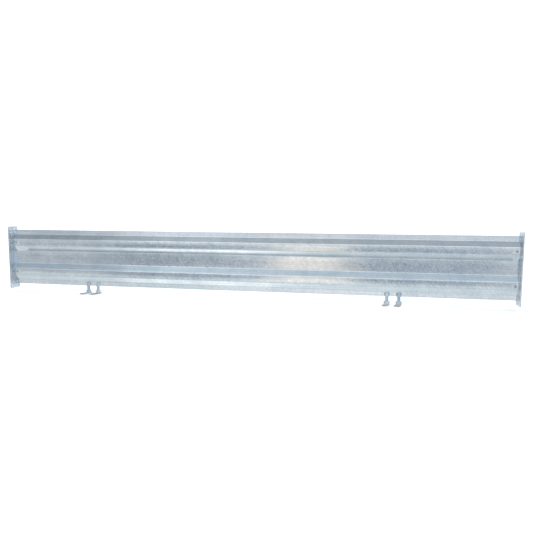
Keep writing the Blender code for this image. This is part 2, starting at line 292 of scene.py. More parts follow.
def hexagon(name: str, flats: float, low: float, high: float) -> bpy.types.Object:
    """A hexagon bar whose corners are chamfered round at both ends, as on a nut.

    Args:
        name: The object's name.
        flats: Width across flats. Two flats face +Y and -Y.
        low: Height of its lower end.
        high: Height of its upper end.

    Returns:
        The hexagon.
    """
    corner = flats / math.sqrt(3)
    end_face = flats * 0.475  # radius of the round face that the chamfer leaves at each end
    chamfer = corner - end_face
    drop = chamfer * math.tan(math.radians(30))
    piece = cylinder(name, corner, low, high, vertices=6, turn=math.radians(30))
    barrel = cylinder(f"{name}_barrel", corner * 1.001, low, high, vertices=96)  # just clears the corners
    make_active(barrel)
    bpy.ops.object.mode_set(mode="EDIT")
    for end in (low, high):
        select_in_edit(
            barrel, Pick.FACES,
            lambda middle, normal, end=end: abs(normal.z) > ALIGNED and abs(middle.z - end) < NEAR)
        bpy.ops.mesh.inset(thickness=chamfer, depth=0)
    bpy.ops.object.mode_set(mode="OBJECT")
    for vertex in barrel.data.vertices:
        if vertex.co.xy.length > corner * 0.99:
            vertex.co.z += drop if abs(vertex.co.z - low) < NEAR else -drop
    return combine(piece, barrel, Join.KEEP_COMMON)


def ribbed_rod(
    name: str, radius: float, low: float, high: float, rows: int, vertices: int,
    reach: Callable[[float, float], float]
) -> bpy.types.Object:
    """A round bar whose surface is moved in or out along its length and around it.

    Args:
        name: The object's name.
        radius: The plain bar's radius.
        low: Height of its lower end.
        high: Height of its upper end.
        rows: Rings of faces along it.
        vertices: Faces around it.
        reach: Takes a height and an angle and gives the radius there.

    Returns:
        The bar, with closed ends.
    """
    piece = cylinder(name, radius, low, high, vertices=vertices)
    make_active(piece)
    bpy.ops.object.mode_set(mode="EDIT")
    select_in_edit(piece, Pick.EDGES, lambda middle, run: abs(run.z) > ALIGNED)
    bpy.ops.mesh.subdivide(number_cuts=rows - 1)
    bpy.ops.object.mode_set(mode="OBJECT")
    for vertex in piece.data.vertices:
        across = vertex.co.xy
        across *= reach(vertex.co.z, math.atan2(across.y, across.x)) / across.length
        vertex.co.x, vertex.co.y = across
    return piece


def thread_reach(radius: float, pitch: float, tip: float, chamfer: float) -> Callable[[float, float], float]:
    """Radius of a right-hand metric thread at a height and an angle.

    Args:
        radius: Outer radius.
        pitch: Rise per turn.
        tip: Height of the end that is chamfered.
        chamfer: Length and depth of that chamfer.

    Returns:
        A function of height and angle.
    """
    depth = 0.58 * pitch
    flat = 0.16  # share of half a turn that is flat, at the crest and at the root

    def reach(height: float, angle: float) -> float:
        """Radius at one point of the thread.

        Args:
            height: Height of the point.
            angle: Its angle about the axis.

        Returns:
            The radius there.
        """
        phase = (height / pitch - angle / math.tau) % 1.0
        rise = min(1.0, max(0.0, (abs(2 * phase - 1) - flat) / (1 - 2 * flat)))
        return min(radius - depth * (1 - rise), radius - chamfer + abs(tip - height))

    return reach


def fold_strip(
    name: str, start: Vector, sweep: Vector, runs: list[Vector], bends: list[float], thickness: float
) -> bpy.types.Object:
    """Fold a strip of sheet metal: straight runs one after the other, with a rounded bend between each two.

    Args:
        name: The object's name.
        start: One corner of the strip.
        sweep: The strip's width, as a vector.
        runs: The straight runs, as vectors, from the start.
        bends: The face radius of the bend after each run but the last.
        thickness: Sheet thickness, laid behind the face.

    Returns:
        The closed, folded strip.
    """
    deselect_all()
    bpy.ops.mesh.primitive_plane_add(size=1.0)
    piece = bpy.context.object
    piece.name = name
    corners = [start, start + sweep, start + sweep + runs[0], start + runs[0]]
    order = sorted(piece.data.vertices, key=lambda vertex: math.atan2(vertex.co.y, vertex.co.x))
    for vertex, corner in zip(order, corners):
        vertex.co = corner
    make_active(piece)
    bpy.ops.object.mode_set(mode="EDIT")
    along = sweep.normalized()

    def pick_fold(corner: Vector) -> None:
        """Select the edge that runs across the strip at a corner."""
        select_in_edit(
            piece, Pick.EDGES,
            lambda middle, way: (
                abs(way.dot(along)) > ALIGNED and (middle - corner - sweep / 2).length < MM))

    joints = []
    here = start + runs[0]
    for run in runs[1:]:
        joints.append(here.copy())
        pick_fold(here)
        bpy.ops.mesh.extrude_edges_move(TRANSFORM_OT_translate={"value": run})
        here = here + run
    for joint, before, after, radius in zip(joints, runs, runs[1:], bends):
        turn = before.angle(after)
        pick_fold(joint)
        bpy.ops.mesh.bevel(
            offset_type="OFFSET", offset=radius * math.tan(turn / 2), segments=10, profile=0.5,
            affect="EDGES")
    bpy.ops.object.mode_set(mode="OBJECT")
    use_modifier(piece, "SOLIDIFY", thickness=thickness, offset=-1.0, use_even_offset=True)
    return piece


def stand_for(
    piece: bpy.types.Object, node: str, body: str, finish: bpy.types.Material
) -> bpy.types.Object:
    """Dress a finished piece and let it stand for its CAD node.

    Args:
        piece: The modelled piece.
        node: The CAD node that it replaces.
        body: The body that it moves with.
        finish: The material.

    Returns:
        The piece.
    """
    place_in_mesh(piece)
    dress(piece, body, finish)
    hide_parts(node)
    return piece


def dress(piece: bpy.types.Object, body: str, finish: bpy.types.Material) -> None:
    """Give a piece its material and the body that it moves with.

    Args:
        piece: The modelled piece.
        body: The body that it moves with.
        finish: The material.
    """
    piece.data.materials.clear()
    piece.data.materials.append(finish)
    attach(piece, body)
    log.info("%s: %d faces on %s", piece.name, len(piece.data.polygons), body)


# ---------------------------------------------------------------- finishes


def linear(hex_colour: str) -> tuple[float, float, float, float]:
    """Turn an sRGB hex colour to linear light.

    Args:
        hex_colour: Six hex digits.

    Returns:
        Linear red, green, blue and an alpha of one.
    """
    channels = []
    for index in (0, 2, 4):
        value = int(hex_colour[index:index + 2], 16) / 255
        channels.append(value / 12.92 if value <= 0.04045 else ((value + 0.055) / 1.055) ** 2.4)
    return (*channels, 1.0)


def add_node(
    tree: bpy.types.NodeTree, kind: str, inputs: dict[str, object] | None = None, **settings: object
) -> bpy.types.Node:
    """Add a node, set its properties, and set or link its inputs.

    Args:
        tree: The node tree.
        kind: Blender's node type.
        inputs: Values or output sockets, by input name or number.
        **settings: The node's properties.

    Returns:
        The node.
    """
    node = tree.nodes.new(kind)
    for name, value in settings.items():
        setattr(node, name, value)
    for key, value in (inputs or {}).items():
        socket = node.inputs[key]
        if isinstance(value, bpy.types.NodeSocket):
            tree.links.new(value, socket)
        else:
            socket.default_value = value
    return node


@dataclass(frozen=True)
class GalvanisedFinish:
    """Hot-dip galvanised steel: a bright zinc skin of crystal spangles, with cloudy stains and wipe streaks.

    The zinc reflects like a slightly rough mirror. Each spangle leans its own way, so it catches the light
    a little brighter or darker than the next one. The streaks run down to the right, as the zinc drained,
    and faint lines run along the piece, as the steel was rolled.
    """

    name: str
    bright: str = "D0D6DB"
    dull: str = "C6CED4"
    stain: str = "96A1AC"
    roughness: float = 0.14
    spangle_mm: float = 12.0
    cloud_mm: float = 180.0
    hook_pitch_mm: float = 2600.0
    hook_mm: float = -800.0
    hollow_mm: float = 362.0
    hollow_reach_mm: float = 240.0
    roll_line_mm: float = 7.0
    streak_mm: float = 15.0
    streak_strength: float = 0.75
    streak_roughness: float = 0.12
    bump_mm: float = 0.08
    bump_strength: float = 0.25
    drain_slant_deg: float = 48.0
    drain_stretch: float = 9.0
    roll_stretch: float = 90.0
    # how far spangles and rolling lines dull or brighten the zinc
    sparkle: tuple[float, float] = (0.95, 1.04)
    roll_shade: tuple[float, float] = (0.93, 1.06)
    roughness_spread: tuple[float, float] = (-0.03, 0.05)
    # from none to full: noise for clouds, drain marks and rolling lines, a face's uprightness, a hook's reach
    cloud_window: tuple[float, float] = (0.40, 0.62)
    streak_window: tuple[float, float] = (0.45, 0.66)
    roll_window: tuple[float, float] = (0.30, 0.70)
    upright_window: tuple[float, float] = (0.85, 0.97)
    hook_window: tuple[float, float] = (-0.2, 0.5)
    between_hooks: float = 0.12

    def material(self) -> bpy.types.Material:
        """Build the node tree.

        Returns:
            The material.
        """
        material = bpy.data.materials.new(self.name)
        material.use_nodes = True
        tree = material.node_tree
        tree.nodes.clear()
        coordinates = add_node(tree, "ShaderNodeTexCoord")
        place = coordinates.outputs["Object"]
        crystal = add_node(
            tree, "ShaderNodeTexVoronoi",
            {"Vector": place, "Scale": 1 / (self.spangle_mm * MM), "Randomness": 1.0})
        facets = add_node(tree, "ShaderNodeSeparateColor", {"Color": crystal.outputs["Color"]})
        cloud = self.noise(tree, place, self.cloud_mm, 4.0, self.cloud_window)
        slant = add_node(
            tree, "ShaderNodeMapping",
            {"Vector": place, "Rotation": (0, math.radians(self.drain_slant_deg), 0),
             "Scale": (self.drain_stretch, 1.0, 1.0)},
            vector_type="TEXTURE")
        streak = self.noise(tree, slant.outputs[0], self.streak_mm, 3.0, self.streak_window)
        facing = add_node(tree, "ShaderNodeSeparateXYZ", {0: coordinates.outputs["Normal"]})
        upright = add_node(tree, "ShaderNodeMath", {0: facing.outputs["Y"]}, operation="ABSOLUTE")
        flat = add_node(
            tree, "ShaderNodeMapRange",
            {"Value": upright.outputs[0], "From Min": self.upright_window[0],
             "From Max": self.upright_window[1]})
        marked = add_node(
            tree, "ShaderNodeMath", {0: self.under_hooks(tree, place), 1: flat.outputs[0]},
            operation="MULTIPLY")
        wiped = add_node(tree, "ShaderNodeMath", {0: streak, 1: marked.outputs[0]}, operation="MULTIPLY")
        share = add_node(
            tree, "ShaderNodeMath", {0: wiped.outputs[0], 1: self.streak_strength}, operation="MULTIPLY")
        base = add_node(
            tree, "ShaderNodeMix", {0: cloud, 6: linear(self.bright), 7: linear(self.dull)}, data_type="RGBA")
        streaked = add_node(
            tree, "ShaderNodeMix", {0: share.outputs[0], 6: base.outputs[2], 7: linear(self.stain)},
            data_type="RGBA")
        sparkle = add_node(
            tree, "ShaderNodeMapRange",
            {"Value": facets.outputs["Red"], "To Min": self.sparkle[0], "To Max": self.sparkle[1]})
        rolled = add_node(
            tree, "ShaderNodeMapping", {"Vector": place, "Scale": (self.roll_stretch, 1.0, 1.0)},
            vector_type="TEXTURE")
        lines = self.noise(tree, rolled.outputs[0], self.roll_line_mm, 2.0, self.roll_window)
        shade = add_node(
            tree, "ShaderNodeMapRange",
            {"Value": lines, "To Min": self.roll_shade[0], "To Max": self.roll_shade[1]})
        light = add_node(
            tree, "ShaderNodeMath", {0: sparkle.outputs[0], 1: shade.outputs[0]}, operation="MULTIPLY")
        colour = add_node(
            tree, "ShaderNodeVectorMath", {0: streaked.outputs[2], "Scale": light.outputs[0]},
            operation="SCALE")
        rough = add_node(
            tree, "ShaderNodeMapRange",
            {"Value": facets.outputs["Green"], "To Min": self.roughness + self.roughness_spread[0],
             "To Max": self.roughness + self.roughness_spread[1]})
        worn = add_node(
            tree, "ShaderNodeMath", {0: wiped.outputs[0], 1: self.streak_roughness, 2: rough.outputs[0]},
            operation="MULTIPLY_ADD")
        bump = add_node(
            tree, "ShaderNodeBump",
            {"Height": facets.outputs["Blue"], "Strength": self.bump_strength,
             "Distance": self.bump_mm * MM})
        shader = add_node(
            tree, "ShaderNodeBsdfPrincipled",
            {"Base Color": colour.outputs[0], "Roughness": worn.outputs[0], "Normal": bump.outputs[0],
             "Metallic": 1.0})
        add_node(tree, "ShaderNodeOutputMaterial", {"Surface": shader.outputs[0]})
        return material

    def under_hooks(self, tree: bpy.types.NodeTree, place: bpy.types.NodeSocket) -> bpy.types.NodeSocket:
        """Where the drain marks are: in wide groups under the dipping hooks, and most in the panel's hollow.

        Args:
            tree: The node tree.
            place: Where the surface is.

        Returns:
            The socket of the share.
        """
        parts = add_node(tree, "ShaderNodeSeparateXYZ", {0: place})
        turn = math.tau / (self.hook_pitch_mm * MM)
        phase = add_node(
            tree, "ShaderNodeMath", {0: parts.outputs["X"], 1: turn, 2: -turn * self.hook_mm * MM},
            operation="MULTIPLY_ADD")
        wave = add_node(tree, "ShaderNodeMath", {0: phase.outputs[0]}, operation="COSINE")
        group = add_node(
            tree, "ShaderNodeMapRange",
            {"Value": wave.outputs[0], "From Min": self.hook_window[0], "From Max": self.hook_window[1],
             "To Min": self.between_hooks})
        rise = add_node(
            tree, "ShaderNodeMath", {0: parts.outputs["Z"], 1: self.hollow_mm * MM}, operation="SUBTRACT")
        off = add_node(tree, "ShaderNodeMath", {0: rise.outputs[0]}, operation="ABSOLUTE")
        reach = self.hollow_reach_mm * MM
        height = add_node(
            tree, "ShaderNodeMapRange",
            {"Value": off.outputs[0], "From Min": reach / 3, "From Max": reach, "To Min": 1.0, "To Max": 0.0})
        share = add_node(
            tree, "ShaderNodeMath", {0: group.outputs[0], 1: height.outputs[0]}, operation="MULTIPLY")
        return share.outputs[0]

    def noise(
        self, tree: bpy.types.NodeTree, place: bpy.types.NodeSocket, size_mm: float, detail: float,
        window: tuple[float, float]
    ) -> bpy.types.NodeSocket:
        """Soft noise, stretched to run from none to full over a window of its values.

        Args:
            tree: The node tree.
            place: Where the surface is.
            size_mm: Size of one cloud.
            detail: Octaves.
            window: The values that become none and full.

        Returns:
            The socket that gives the share.
        """
        cloud = add_node(
            tree, "ShaderNodeTexNoise",
            {"Vector": place, "Scale": 1 / (size_mm * MM), "Detail": detail, "Roughness": 0.6})
        share = add_node(
            tree, "ShaderNodeMapRange",
            {"Value": cloud.outputs["Fac"], "From Min": window[0], "From Max": window[1]})
        return share.outputs[0]


# ---------------------------------------------------------------- sub-assemblies


@dataclass
class Profile:
    """Heights and bends of the rolled W, from its lower edge up. It is the same upside down."""

    lip: float = 47 * MM
    slope: float = 53 * MM
    crest: float = 68 * MM
    step: float = 56 * MM
    depth: float = 48 * MM
    hem: float = 11 * MM
    crest_radius: float = 16 * MM
    valley_radius: float = 12 * MM
    hem_radius: float = 5 * MM
    thickness: float = 3 * MM


@dataclass
class FaceSheet:
    """The long rolled sheet that closes the panel."""

    finish: bpy.types.Material
    profile: Profile = field(default_factory=Profile)
    columns: int = 96
    bolt_hole: float = 13.8 * MM
    buckle: float = 0.2 * MM
    calm_edge: float = 60 * MM
    # each wave's share of the buckle, its turn per metre along and up, and its start
    waves: tuple[tuple[float, float, float, float], ...] = (
        (1.0, 7.3, 9.1, 0.0), (0.7, 12.7, -17.3, 1.3), (0.5, 23.1, 5.7, 0.6))

    def build(self, bolt_places: list[Vector]) -> bpy.types.Object:
        """Model the sheet.

        Args:
            bolt_places: Middle of each square bolt hole on the crests.

        Returns:
            The finished sheet.
        """
        low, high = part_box("face_sheet")
        form = self.profile
        rear_y = high.y
        valley = high.z - low.z - 2 * (form.lip + form.slope + form.crest + form.step)
        up = [
            form.lip, form.slope, form.crest, form.step, valley, form.step, form.crest, form.slope, form.lip]
        back = [0, -1, 0, 1, 0, -1, 0, 1, 0]
        runs = [Vector((0, -form.hem, 0))]
        runs += [Vector((0, side * form.depth, rise)) for side, rise in zip(back, up)]
        runs.append(Vector((0, form.hem, 0)))
        half_w = [form.valley_radius, form.crest_radius, form.crest_radius, form.valley_radius]
        bends = [form.hem_radius, *half_w, *half_w, form.hem_radius]
        sheet = fold_strip(
            "rolled_sheet", Vector((low.x, rear_y, low.z)), Vector((high.x - low.x, 0, 0)), runs, bends,
            form.thickness)
        self.divide(sheet)
        self.punch(sheet, bolt_places)
        self.ripple(sheet)
        return stand_for(sheet, "face_sheet", "panel", self.finish)

    def divide(self, sheet: bpy.types.Object) -> None:
        """Cut the sheet's long faces into columns, so that it can buckle a little.

        Args:
            sheet: The folded sheet.
        """
        make_active(sheet)
        bpy.ops.object.mode_set(mode="EDIT")
        select_in_edit(sheet, Pick.EDGES, lambda middle, run: abs(run.x) > ALIGNED)
        bpy.ops.mesh.subdivide(number_cuts=self.columns - 1)
        bpy.ops.object.mode_set(mode="OBJECT")

    def punch(self, sheet: bpy.types.Object, bolt_places: list[Vector]) -> None:
        """Cut the square bolt holes.

        Args:
            sheet: The sheet.
            bolt_places: Middle of each bolt hole.
        """
        half = self.bolt_hole / 2
        reach = Vector((half, self.profile.thickness + CUT_MARGIN, half))
        for place in bolt_places:
            combine(sheet, block("square_punch", place - reach, place + reach), Join.CUT)

    def ripple(self, sheet: bpy.types.Object) -> None:
        """Buckle the sheet by fractions of a millimetre, as thin rolled steel does after a hot zinc bath.

        Args:
            sheet: The sheet.
        """
        low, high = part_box("face_sheet")
        for vertex in sheet.data.vertices:
            x, z = vertex.co.x, vertex.co.z
            from_side = min(x - low.x, high.x - x)
            from_hem = min(z - low.z, high.z - z) - self.profile.hem
            fade = math.prod(min(1.0, max(0.0, room / self.calm_edge)) for room in (from_side, from_hem))
            wave = sum(share * math.sin(along * x + up * z + start) for share, along, up, start in self.waves)
            vertex.co.y += self.buckle * fade * wave


@dataclass
class EndPlate:
    """An upright flat bar with a two by two group of punched holes in each ear."""

    end: End
    finish: bpy.types.Material
    corner_radius: float = 6 * MM
    hole_radius: float = 9 * MM
    pitch_y: float = 65 * MM
    pitch_z: float = 35 * MM
    edge: float = 28 * MM
    edge_break: float = 0.9 * MM

    def build(self) -> bpy.types.Object:
        """Model the plate, which isn't mirrored in the sheet beside it.

        Returns:
            The finished plate.
        """
        node = f"end_plate_{self.end.word}"
        low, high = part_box(node)
        plate = block(f"flat_bar_{self.end.word}", low, high)
        make_active(plate)
        bpy.ops.object.mode_set(mode="EDIT")
        select_in_edit(plate, Pick.EDGES, lambda middle, run: abs(run.x) > ALIGNED)
        bpy.ops.mesh.bevel(offset=self.corner_radius, segments=8, profile=0.5, affect="EDGES")
        bpy.ops.object.mode_set(mode="OBJECT")
        middle = (low + high) / 2
        reach = (high.x - low.x) / 2 + CUT_MARGIN
        for ear in (low.z + self.edge, low.z + self.edge + self.pitch_z,
                    high.z - self.edge, high.z - self.edge - self.pitch_z):
            for side in (-0.5, 0.5):
                punch = cylinder("punch", self.hole_radius, -reach, reach)
                punch.data.transform(
                    Matrix.Translation((middle.x, middle.y + side * self.pitch_y, ear))
                    @ Matrix.Rotation(math.radians(90), 4, "Y"))
                combine(plate, punch, Join.CUT)
        soften_edges(plate, self.edge_break)
        plate.visible_glossy = False
        return stand_for(plate, node, "panel", self.finish)


@dataclass
class Cleat:
    """An angle cleat behind a crest, welded to the end plate and bolted to the sheet."""

    end: End
    row: Row
    finish: bpy.types.Material
    weld_finish: bpy.types.Material
    thickness: float = 6 * MM
    bend_radius: float = 10 * MM
    hole_radius: float = 6.6 * MM
    edge_break: float = 0.5 * MM
    bead_radius: float = 3.2 * MM
    bead_inset: float = 3 * MM
    bead_offset: float = 2.7 * MM

    @property
    def word(self) -> str:
        """The end and the row, as the CAD nodes spell them."""
        return f"{self.end.word}_{self.row.value}"

    def build(self) -> None:
        """Model the cleat and its weld."""
        node = f"cleat_{self.word}"
        low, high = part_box(node)
        side = self.end.value
        plate_x = high.x if side > 0 else low.x
        leg_x = low.x if side > 0 else high.x
        tall = high.z - low.z
        runs = [Vector((plate_x - leg_x, 0, 0)), Vector((0, high.y - low.y, 0))]
        start_z, sweep = (low.z, tall) if side > 0 else (high.z, -tall)
        cleat = fold_strip(
            f"angle_{self.word}", Vector((leg_x, low.y, start_z)), Vector((0, 0, sweep)), runs,
            [self.bend_radius], self.thickness)
        bolt_low, bolt_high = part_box(f"bolt_{self.word}")
        bolt = (bolt_low + bolt_high) / 2
        punch = cylinder("punch", self.hole_radius, -CUT_MARGIN, self.thickness + CUT_MARGIN)
        punch.data.transform(
            Matrix.Translation((bolt.x, low.y, bolt.z)) @ Matrix.Rotation(math.radians(-90), 4, "X"))
        combine(cleat, punch, Join.CUT)
        soften_edges(cleat, self.edge_break)
        stand_for(cleat, node, "panel", self.finish)
        self.weld(plate_x, high.y, low.z, high.z)

    def weld(self, plate_x: float, rear_y: float, low_z: float, high_z: float) -> None:
        """Lay the fillet weld between the cleat's rear edge and the end plate.

        Args:
            plate_x: X of the end plate's inner face.
            rear_y: Y of the cleat's rear edge.
            low_z: The cleat's lower edge.
            high_z: The cleat's upper edge.
        """
        bead = weld_bead(f"weld_{self.word}", self.bead_radius, high_z - low_z - 2 * self.bead_inset)
        place = Matrix.Translation(
            (plate_x - self.end.value * self.bead_offset, rear_y, low_z + self.bead_inset))
        bead.data.transform(place)
        place_in_mesh(bead)
        dress(bead, "panel", self.weld_finish)


def weld_bead(name: str, radius: float, length: float) -> bpy.types.Object:
    """A weld bead along Z from the origin: a round run with the ripples of the pool and closed, rounded ends.

    Args:
        name: The object's name.
        radius: The bead's radius.
        length: The bead's length.

    Returns:
        The bead.
    """
    ripple = 2.4 * MM
    slant = 0.5 * MM
    depth = 0.14
    row = 0.6 * MM

    def reach(height: float, angle: float) -> float:
        """Radius at one point of the bead.

        Args:
            height: The point's place along the bead.
            angle: Its angle about the bead's axis.

        Returns:
            The radius there.
        """
        shift = slant * math.cos(angle)
        wave = 0.5 + 0.5 * math.cos(math.tau * (height + shift) / ripple)
        end = min(1.0, math.sqrt(max(0.02, min(height, length - height) / radius)))
        return radius * end * (1 - depth + depth * wave)

    return ribbed_rod(name, radius, 0.0, length, max(8, round(length / row)), 16, reach)


@dataclass
class CupBolt:
    """An M12 cup-square bolt with its washer and nut, lying along Y with its head to the front."""

    finish: bpy.types.Material
    radius: float = 6 * MM
    pitch: float = 1.75 * MM
    head_radius: float = 13.5 * MM
    head_height: float = 6.5 * MM
    neck: float = 12.6 * MM
    sheet_thickness: float = 3 * MM
    nut_flats: float = 19 * MM
    washer_radius: float = 12 * MM
    clearance: float = 0.6 * MM
    nut_fit: float = 0.6  # share of the clearance that the nut's bore takes
    head_edge: float = 0.8 * MM
    washer_edge: float = 0.25 * MM
    lead_in: float = 1 * MM
    sunk: float = 1 * MM
    rows_per_turn: int = 7
    nut_turn_deg: float = 23.0
    masters: dict[str, bpy.types.Object] = field(default_factory=dict)

    def model(self, length: float, nut_height: float, washer_thickness: float) -> None:
        """Model one bolt, one nut and one washer on the Z axis, with the head's underside at the origin.

        Args:
            length: The shank's length under the head.
            nut_height: The nut's height.
            washer_thickness: The washer's thickness.
        """
        ball = (self.head_radius ** 2 + self.head_height ** 2) / (2 * self.head_height)
        deselect_all()
        bpy.ops.mesh.primitive_uv_sphere_add(
            segments=48, ring_count=48, radius=ball, location=(0, 0, self.head_height - ball))
        head = place_in_mesh(bpy.context.object)
        head.name = "cup_bolt"
        make_active(head)
        bpy.ops.object.mode_set(mode="EDIT")
        bpy.ops.mesh.select_all(action="SELECT")
        bpy.ops.mesh.bisect(plane_co=(0, 0, 0), plane_no=(0, 0, 1), use_fill=True, clear_inner=True)
        bpy.ops.object.mode_set(mode="OBJECT")
        soften_edges(head, self.head_edge, segments=3, angle_deg=25)
        half = self.neck / 2
        neck_low = -self.sheet_thickness - GAP
        neck = block("neck", Vector((-half, -half, neck_low)), Vector((half, half, self.sunk)))
        combine(head, neck, Join.ADD)
        rows = round((length + self.sunk) / self.pitch * self.rows_per_turn)
        shank = ribbed_rod(
            "shank", self.radius, -length, self.sunk, rows, 36,
            thread_reach(self.radius, self.pitch, -length, self.lead_in))
        combine(head, shank, Join.ADD)
        self.masters["bolt"] = head
        nut = hexagon("hex_nut", self.nut_flats, -nut_height, 0.0)
        narrow = self.radius + self.clearance
        wide = self.radius + self.clearance + self.lead_in
        combine(nut, cone("lead_in", narrow, wide, -self.lead_in, PROUD), Join.CUT)
        lead_in = cone("lead_in", wide, narrow, -nut_height - PROUD, -nut_height + self.lead_in)
        combine(nut, lead_in, Join.CUT)
        bore_radius = self.radius + self.clearance * self.nut_fit
        combine(nut, cylinder("bore", bore_radius, -nut_height - CUT_MARGIN, CUT_MARGIN), Join.CUT)
        self.masters["nut"] = nut
        washer = cylinder("flat_washer", self.washer_radius, -washer_thickness, 0.0, vertices=64)
        combine(washer, cylinder("bore", narrow, -CUT_MARGIN, CUT_MARGIN), Join.CUT)
        soften_edges(washer, self.washer_edge)
        self.masters["washer"] = washer

    def build(self, bolts: list[str]) -> None:
        """Place a bolt, a nut and a washer for each name.

        Args:
            bolts: The end and row of each bolt, as the CAD nodes spell them.
        """
        low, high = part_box(f"bolt_{bolts[0]}")
        nut_low, nut_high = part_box(f"nut_{bolts[0]}")
        washer_low, washer_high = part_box(f"washer_{bolts[0]}")
        self.model(high.y - low.y - self.head_height, nut_high.y - nut_low.y, washer_high.y - washer_low.y)
        for index, word in enumerate(bolts):
            low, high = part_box(f"bolt_{word}")
            middle = (low + high) / 2
            fronts = {
                "bolt": low.y + self.head_height,
                "nut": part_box(f"nut_{word}")[0].y,
                "washer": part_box(f"washer_{word}")[0].y,
            }
            for kind, front in fronts.items():
                turn = math.radians(self.nut_turn_deg * index) if kind == "nut" else 0.0
                place = (
                    Matrix.Translation((middle.x, front, middle.z))
                    @ Matrix.Rotation(math.radians(90), 4, "X") @ Matrix.Rotation(turn, 4, "Z"))
                piece = placed_copy(self.masters[kind], f"m12_{kind}_{word}", place)
                stand_for(piece, f"{kind}_{word}", "panel", self.finish)
        for master in self.masters.values():
            bpy.data.objects.remove(master, do_unlink=True)


